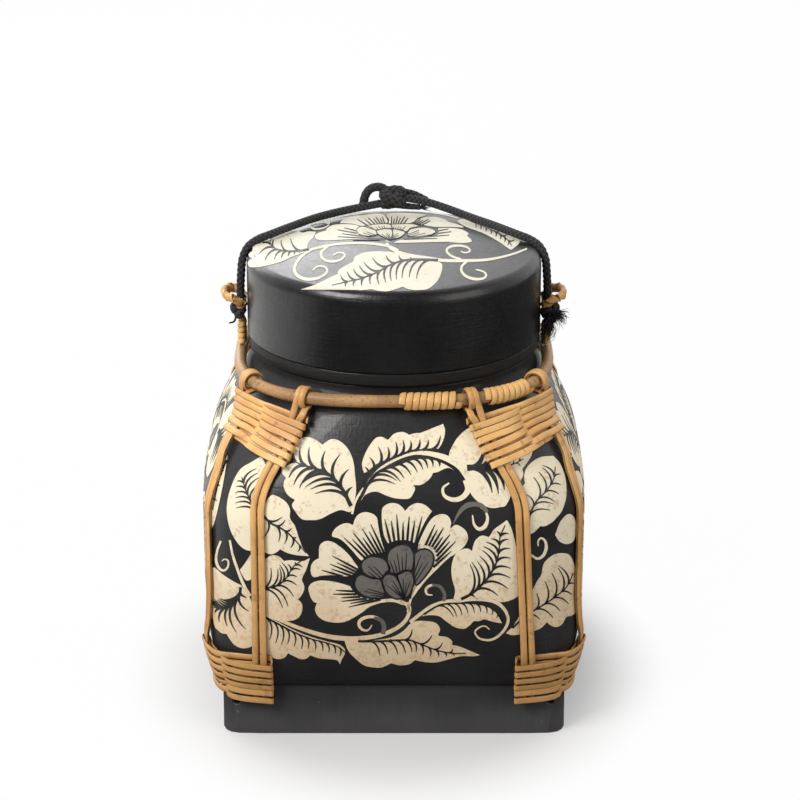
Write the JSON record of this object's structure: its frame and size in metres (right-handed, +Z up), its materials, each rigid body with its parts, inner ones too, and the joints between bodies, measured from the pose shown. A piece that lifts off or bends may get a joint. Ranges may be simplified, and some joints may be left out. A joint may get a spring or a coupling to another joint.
{
  "type": "sticky rice basket",
  "caption": "Rounded square lacquered bamboo basket on a square wooden base, with a round lift-off lid, rattan straps lashed over the corners, a neck hoop and a carrying cord.",
  "frame": {"origin": "on the floor, under the middle of the square base", "axes": "+Z up through the lid, -Y towards the front face with the hoop's winding, +X to the right from the front"},
  "size_m": [0.2028, 0.204, 0.2539],
  "materials": {
    "base_black": "worn satin black paint on wood",
    "black_lacquer": "satin black lacquer over woven bamboo, with cream and grey painted flowers",
    "lid_lacquer": "satin black lacquer with cream and grey painted flowers on top",
    "inner_bamboo": "dark stained bamboo",
    "pale_rattan": "split rattan, pale, waxy",
    "rattan": "split rattan strip, waxy tan",
    "cord_black": "braided black cotton cord"
  },
  "bodies": {
    "basket": {"base_front_board": "base_black", "base_back_board": "base_black", "base_left_board": "base_black", "base_right_board": "base_black", "basket_body": "black_lacquer", "neck_collar": "inner_bamboo", "neck_band": "black_lacquer", "neck_hoop": "pale_rattan", "hoop_winding_front": "rattan", "hoop_winding_corner": "rattan", "end_strap_front_left": "pale_rattan", "side_strap_front_left": "pale_rattan", "upper_lashing_front_left": "rattan", "lower_lashing_front_left": "rattan", "end_strap_front_right": "pale_rattan", "side_strap_front_right": "pale_rattan", "upper_lashing_front_right": "rattan", "lower_lashing_front_right": "rattan", "end_strap_back_left": "pale_rattan", "side_strap_back_left": "pale_rattan", "upper_lashing_back_left": "rattan", "lower_lashing_back_left": "rattan", "end_strap_back_right": "pale_rattan", "side_strap_back_right": "pale_rattan", "upper_lashing_back_right": "rattan", "lower_lashing_back_right": "rattan", "ear_loop_left": "rattan", "ear_loop_right": "rattan", "ear_binding_left": "rattan", "ear_binding_right": "rattan", "ear_knot_left": "cord_black", "ear_knot_right": "cord_black", "cord_left": "cord_black", "cord_right": "cord_black"},
    "lid": {"lid_wall": "lid_lacquer", "lid_top": "lid_lacquer", "lid_slip_ring": "inner_bamboo", "middle_knot": "cord_black", "knot_loop": "cord_black", "knot_tail": "cord_black"}
  },
  "joints": [
    {"name": "lid_lift", "type": "slide", "parent": "basket", "child": "lid", "axis": [0, 0, 1], "range_m": [0, 0.06], "deforming": ["cord_left", "cord_right"]}
  ]
}
